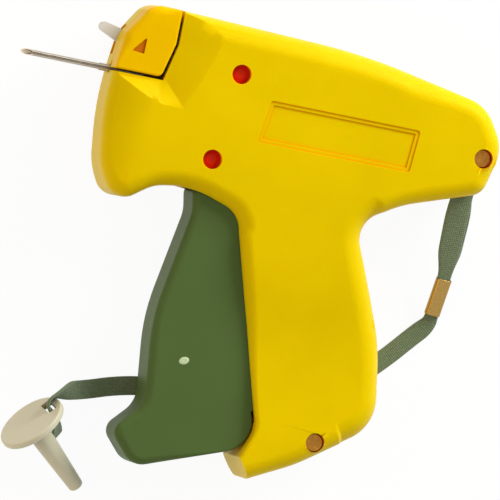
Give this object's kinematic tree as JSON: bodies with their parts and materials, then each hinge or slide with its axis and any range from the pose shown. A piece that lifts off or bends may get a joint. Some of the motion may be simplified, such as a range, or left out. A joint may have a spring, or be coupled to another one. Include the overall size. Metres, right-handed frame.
{
  "type": "garment tag attacher",
  "caption": "Hand-held garment tag attacher with a squeeze trigger, a hollow needle in a sloped nose, a swing-up needle cover, a flat wrist strap and a flanged needle cap on the strap.",
  "frame": {"origin": "centre of the gun's bounding box in X and Y, on the table it lies on in Z; strap and cap left out", "axes": "-X the way the needle points, +Y towards the top of the barrel, +Z out of the left side, which faces up"},
  "size_m": [0.1638, 0.1641, 0.03],
  "materials": {
    "yellow_plastic": "moulded, satin gloss",
    "cover_plastic": "moulded, satin gloss",
    "green_plastic": "moulded, satin",
    "red_plastic": "moulded",
    "natural_nylon": "moulded, slightly translucent",
    "inner_plastic": "moulded",
    "needle_steel": "drawn tube",
    "steel": "plain",
    "brass": "stamped",
    "strap_webbing": "flat woven webbing",
    "bumper_rubber": "plain"
  },
  "bodies": {
    "housing": {"left_housing": "yellow_plastic", "right_housing": "yellow_plastic", "needle_tube": "needle_steel", "needle_base": "inner_plastic", "cutter_blade": "steel", "needle_lock_pin": "steel", "cover_hinge_pin": "steel", "rod_guide": "inner_plastic", "feed_wheel_axle": "steel", "feed_pawl_pin": "steel", "pawl_spring": "steel", "trigger_pivot_pin": "steel", "trigger_spring": "steel", "drive_lever_pin": "steel", "slide_bumper": "bumper_rubber", "housing_screws": "steel", "screw_plugs": "red_plastic", "strap_anchor": "steel", "strap": "strap_webbing", "strap_tail": "strap_webbing", "strap_ferrule": "brass", "needle_cap": "natural_nylon"},
    "trigger": {"trigger": "green_plastic"},
    "drive_lever": {"drive_lever": "inner_plastic", "lever_drive_pin": "steel", "lever_slide_pin": "steel"},
    "slide": {"slide_carriage": "inner_plastic", "push_rod": "steel"},
    "needle_cover": {"needle_cover": "cover_plastic"},
    "needle_lock": {"needle_lock": "natural_nylon"},
    "feed_wheel": {"feed_wheel": "inner_plastic"},
    "feed_pawl": {"feed_pawl": "steel"}
  },
  "joints": [
    {"name": "trigger_squeeze", "type": "hinge", "parent": "housing", "child": "trigger", "pos_m": [0.00726, -0.05584, 0.015], "axis": [0, 0, -1], "range_deg": [0, 14.1], "stiffness_Nm_per_rad": 0.6, "springref_deg": -17.19, "deforming": ["trigger_spring"]},
    {"name": "drive_lever_swing", "type": "hinge", "parent": "housing", "child": "drive_lever", "pos_m": [0.02526, 0.01996, 0.015], "axis": [0, 0, 1], "range_deg": [0, 70.1]},
    {"name": "slide_travel", "type": "slide", "parent": "housing", "child": "slide", "axis": [-1, 0, 0], "range_m": [0, 0.0453]},
    {"name": "needle_cover_swing", "type": "hinge", "parent": "housing", "child": "needle_cover", "pos_m": [-0.04194, 0.07086, 0.015], "axis": [0, 0, -1], "range_deg": [0, 75]},
    {"name": "needle_lock_swing", "type": "hinge", "parent": "housing", "child": "needle_lock", "pos_m": [-0.04324, 0.06096, 0.015], "axis": [0, 0, 1], "range_deg": [0, 30]},
    {"name": "feed_wheel_turn", "type": "hinge", "parent": "housing", "child": "feed_wheel", "pos_m": [-0.03524, 0.05866, 0.0086], "axis": [1, 0, 0], "continuous": true},
    {"name": "feed_pawl_click", "type": "hinge", "parent": "housing", "child": "feed_pawl", "pos_m": [-0.03524, 0.06476, 0.0044], "axis": [1, 0, 0], "range_deg": [-14, 0], "stiffness_Nm_per_rad": 0.002, "springref_deg": 5.73}
  ],
  "couplings": [
    {"joint": "drive_lever_swing", "follows": "trigger_squeeze", "ratio": 4.9645},
    {"joint": "slide_travel", "follows": "trigger_squeeze", "m_per_rad": 0.18366}
  ]
}
